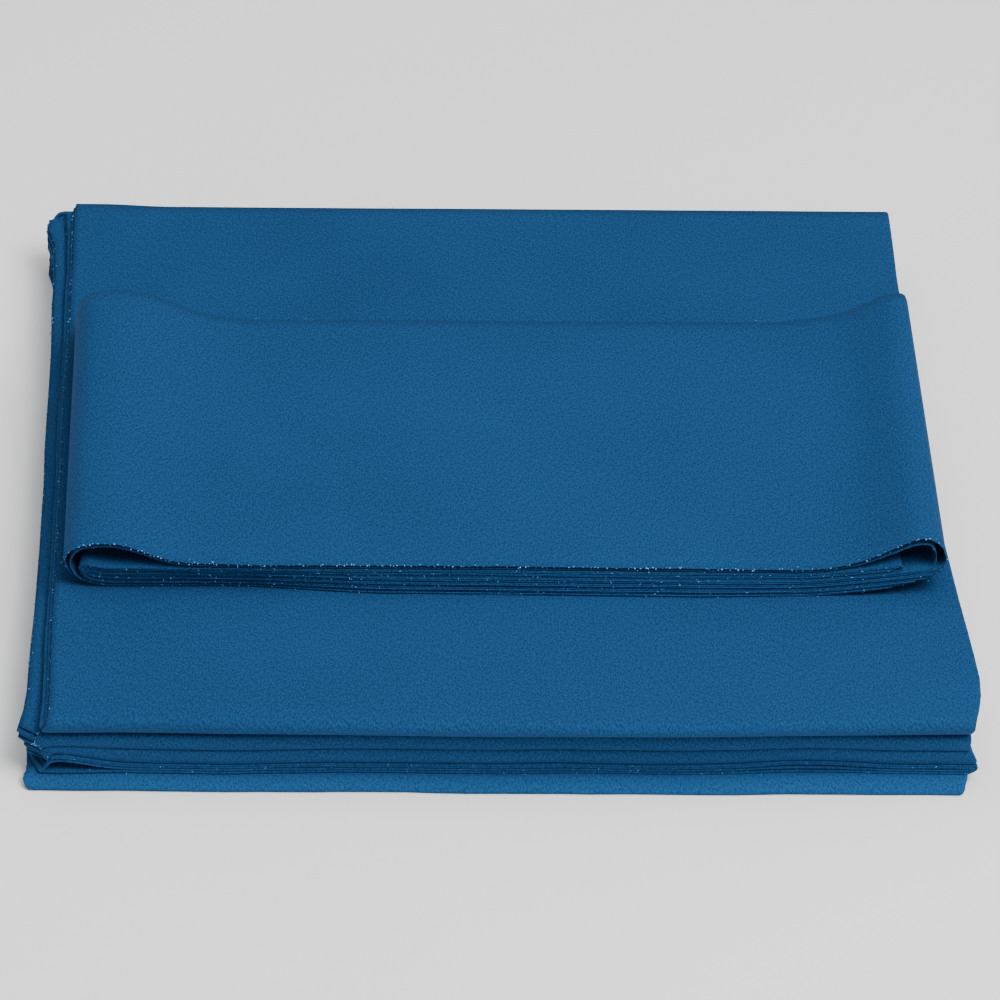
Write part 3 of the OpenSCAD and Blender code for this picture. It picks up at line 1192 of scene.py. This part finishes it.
@dataclass
class RailStrip:
    """One strip of the bundle, folded in half twice with the others."""

    number: int
    bundle: Bundle
    width: float = 163.0 * MM
    run_steps: int = 44
    width_steps: int = 26
    uneven: tuple[float, ...] = (0.0, 0.2, -0.1, 0.15, 0.35, 0.0, -0.15)
    cut: tuple[float, float] = (0.0, 0.0)

    @property
    def name(self) -> str:
        """Name of the strip's object."""
        return f"rail_strip_{self.number}"

    @property
    def inner(self) -> int:
        """Place of the strip's inner ply, counted outwards from the bundle's middle."""
        return self.number - 1

    @property
    def outer(self) -> int:
        """Place of the strip's outer ply."""
        return self.bundle.plies - self.number

    def left_turn(self, ply: int) -> tuple[float, float]:
        """Places a ply's left turn.

        Args:
            ply: the ply's place, counted outwards from the middle.

        Returns:
            Where the turn starts, and how far it stands out.
        """
        b = self.bundle
        if ply == b.plies - 1:
            return b.axis_x, b.axis_x - b.left - b.thickness / 2.0
        if ply == b.plies - 2:
            return b.axis_x, b.axis_x - b.left - 2.6 * MM
        return b.axis_x + 3.6 * MM, (ply + 0.5) * b.pitch

    def right_turn(self) -> tuple[float, float]:
        """Places the strip's right turn.

        Returns:
            Where the turn starts, and how far it stands out.
        """
        b = self.bundle
        if self.number == 1:
            return b.right - 5.2 * MM, 4.6 * MM
        if self.number == 2:
            return b.right - 8.2 * MM, 3.4 * MM
        return b.right - (17.5 + 0.8 * self.number) * MM, (b.strips + 0.5 - self.number) * b.pitch

    def free_end(self, ply: int) -> float:
        """Right end of a lower ply: the further out it lies, the further in it ends."""
        slip = [0.6, 1.4, 2.2, 5.6, 4.6, 6.0, 7.6, 12.5, 15.5, 18.4, 21.6, 25.4][ply]
        return self.bundle.right - slip * MM

    def path(self) -> FoldPath:
        """Draws the strip's fold, from the free end of its inner ply to that of its outer.

        Returns:
            The path, in length and height.
        """
        b = self.bundle
        turn_at, turn_reach = self.right_turn()
        inner, outer = self.inner, self.outer
        inner_at, inner_reach = self.left_turn(inner)
        outer_at, outer_reach = self.left_turn(outer)
        path = FoldPath((self.free_end(inner), b.lower_height(inner)))
        path.heading = -1.0
        path.normals[0] = (0.0, -1.0)
        path.run(inner_at, self.run_steps)
        path.turn(b.upper_height(inner), inner_reach, 8).run(turn_at, self.run_steps)
        path.turn(b.upper_height(outer), turn_reach, 14).run(outer_at, self.run_steps)
        path.turn(b.lower_height(outer), outer_reach, 20).run(self.free_end(outer), self.run_steps)
        return path

    def grid(self) -> ClothGrid:
        """Maps the strip's flat cut through its folds.

        Returns:
            The folded strip.
        """
        b = self.bundle
        points, _, stations, length = self.path().arrays()
        self.cut = (float(length[-1]), self.width)
        across = np.linspace(0.0, self.width, self.width_steps + 1)
        x = np.repeat(points[:, 0][:, None], len(across), axis=1)
        z = np.repeat(points[:, 1][:, None], len(across), axis=1)
        row = np.repeat(stations[:, None], len(across), axis=1)
        y = b.front + across[None, :] - self._stands_out(x, row)
        turn = 2.0 * np.abs(row - np.round(row))
        return ClothGrid(np.stack([x, y, z], axis=-1), turn)

    def _stands_out(self, x: np.ndarray, row: np.ndarray) -> np.ndarray:
        """Moves the strip's plies out to the front: the lower they lie, the further.

        Args:
            x: distance of each point to the right, in metres.
            row: station of each point on the strip's fold.

        Returns:
            How far each point moves, in metres.
        """
        b = self.bundle
        last = b.plies - 1
        depths = [last + 1 + self.inner, last - self.inner, last - self.outer, last + 1 + self.outer]
        depth = np.interp(row, np.arange(4), depths) / (2.0 * last + 1.0)
        line = [
            (-175, -2.6), (-125, -3.4), (-100, -3.4), (-51, 1.0), (0, 1.6), (50, 2.5), (90, 2.9), (140, 1.6),
        ]
        lowest = curve(x, line, 8.0)
        # plies don't lie quite level with their neighbours
        uneven = [self.uneven[(self.number + 2 * k) % len(self.uneven)] for k in range(4)]
        out = 0.2 * MM + depth * (lowest - 0.2 * MM) + np.interp(row, np.arange(4), uneven) * MM
        if self.number == 1:
            out = out + 0.5 * MM * bump(row, 2.0, 1.0)
        out = out + 0.12 * MM * wave(x, 0.12, self.number + 1.3 * np.round(row))
        return out + 0.08 * MM * wave(x, 0.031, 3.0 + row)

    def thicknesses(self) -> np.ndarray:
        """Thickens the plies of the lower half, which lie less pressed.

        Returns:
            The thickness along the strip, in metres.
        """
        _, _, stations, _ = self.path().arrays()
        lower = np.maximum(ease(1.0 - stations), ease(stations - 2.0))
        return self.bundle.thickness + 0.17 * MM * lower

    def build(self) -> list[bpy.types.Object]:
        """Builds the strip and its thread ends.

        Returns:
            The finished objects, with the strip first.
        """
        b = self.bundle
        grid = self.grid()
        sheet = grid.mesh(self.name, self.thicknesses())
        sheet.data.materials.append(Finish.RAIL.value.material())
        threads = self._threads(grid.places)
        half = 0.05 * MM
        start, end = (b.axis_x, 0.0, b.middle - half), (b.axis_x, 0.0, b.middle + half)
        crease = Crease("bundle_lower", "bundle_upper", start, end)
        for piece, together in ((sheet, 1), *((part, ThreadEnds.POINTS) for part in threads)):
            crease.share(piece, together)
            b.settle_piece(piece, together)
        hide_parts(self.name + "_lower", self.name + "_upper")
        return [sheet, *threads]

    def _threads(self, places: np.ndarray) -> list[bpy.types.Object]:
        """Scatters thread ends along the strip's edges: many on the outermost one's top edge.

        Args:
            places: points of the folded strip.

        Returns:
            The thread ends' objects.
        """
        finish = Finish.THREAD.value.material()
        seed = 40 + self.number
        sparse = ThreadEnds(spacing=4.2 * MM, length=0.7 * MM, radius=0.14 * MM, keep=0.3, seed=seed)
        edges = [
            (places[:, 0], places[:, 0] - places[:, 1]),
            (places[:, -1], places[:, -1] - places[:, -2]),
            (places[0], places[0] - places[1]),
            (places[-1], places[-1] - places[-2]),
        ]
        made = [sparse.scatter(self.name + "_threads", edges, finish)]
        if self.number == 1:
            _, _, stations, _ = self.path().arrays()
            top = places[(stations > 1.4) & (stations < 2.7)]
            dense = ThreadEnds(spacing=1.35 * MM, length=0.6 * MM, radius=0.33 * MM, keep=0.72, seed=61)
            front_edge = [(top[:, 0], top[:, 0] - top[:, 1])]
            made.append(dense.scatter(self.name + "_top_threads", front_edge, finish))
        return made


# ---- studio -----------------------------------------------------------------


@dataclass
class Studio:
    """Pale floor, soft light and the camera."""

    target: tuple[float, float, float] = (6.0 * MM, -13.2 * MM, 20.0 * MM)
    distance: float = 2.0495
    elevation: float = 38.60
    azimuth: float = 3.573
    roll: float = 2.46
    lens: float = 176.17
    floor_grey: float = 0.93
    world_strength: float = 0.42

    def camera(self) -> None:
        """Places the camera."""
        el, az, roll = (math.radians(v) for v in (self.elevation, self.azimuth, self.roll))
        away = Vector((-math.sin(az) * math.cos(el), -math.cos(az) * math.cos(el), math.sin(el)))
        place = Vector(self.target) + away * self.distance
        right = (-away).cross(Vector((0.0, 0.0, 1.0))).normalized()
        up = right.cross(-away).normalized()
        tilted = right * math.cos(roll) + up * math.sin(roll)
        upright = up * math.cos(roll) - right * math.sin(roll)
        data = bpy.data.cameras.new("studio_camera")
        data.lens = self.lens
        data.sensor_width = 36.0
        data.clip_start = 0.05
        camera = bpy.data.objects.new("studio_camera", data)
        turn = Matrix((tilted, upright, away)).transposed().to_4x4()
        camera.matrix_world = Matrix.Translation(place) @ turn
        bpy.context.scene.collection.objects.link(camera)
        bpy.context.scene.camera = camera

    def floor(self) -> None:
        """Lays the pale floor."""
        mesh = bpy.data.meshes.new("studio_floor")
        half = 6.0
        corners = [(-half, -half, 0.0), (half, -half, 0.0), (half, half, 0.0), (-half, half, 0.0)]
        mesh.from_pydata(corners, [], [(0, 1, 2, 3)])
        floor = bpy.data.objects.new("studio_floor", mesh)
        bpy.context.scene.collection.objects.link(floor)
        material = bpy.data.materials.new("studio_floor")
        material.use_nodes = True
        shader = material.node_tree.nodes["Principled BSDF"]
        shader.inputs["Base Color"].default_value = (*[self.floor_grey] * 3, 1.0)
        shader.inputs["Roughness"].default_value = 0.9
        shader.inputs["Specular IOR Level"].default_value = 0.1
        mesh.materials.append(material)

    def lights(self) -> None:
        """Hangs the soft lights and sets the pale world."""
        world = bpy.data.worlds.new("studio_world")
        world.use_nodes = True
        back = world.node_tree.nodes["Background"]
        back.inputs["Color"].default_value = (1.0, 1.0, 1.0, 1.0)
        back.inputs["Strength"].default_value = self.world_strength
        bpy.context.scene.world = world
        for name, place, size, power in (
            ("key_light", (0.80, -0.85, 2.1), 1.2, 74.0),
            ("top_light", (-0.3, 0.1, 2.3), 1.4, 16.0),
            ("front_light", (0.2, -2.3, 0.9), 1.2, 2.0),
        ):
            data = bpy.data.lights.new(name, "AREA")
            data.size = size
            data.energy = power
            light = bpy.data.objects.new(name, data)
            light.location = place
            aim = Vector((0.0, 0.0, 0.03)) - Vector(place)
            light.rotation_euler = aim.to_track_quat("-Z", "Y").to_euler()
            bpy.context.scene.collection.objects.link(light)

    def build(self) -> None:
        """Builds the whole studio."""
        self.camera()
        self.floor()
        self.lights()


def main() -> None:
    """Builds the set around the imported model."""
    logging.basicConfig(level=logging.INFO, format="%(message)s")
    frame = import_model()
    Studio().build()
    for piece in BedCloth().build():
        log.info("%s: %d vertices", piece.name, len(piece.data.vertices))
    bundle = Bundle.from_frame(frame)
    for number in range(1, bundle.strips + 1):
        for piece in RailStrip(number, bundle).build():
            log.info("%s: %d vertices", piece.name, len(piece.data.vertices))


if __name__ == "__main__":
    main()
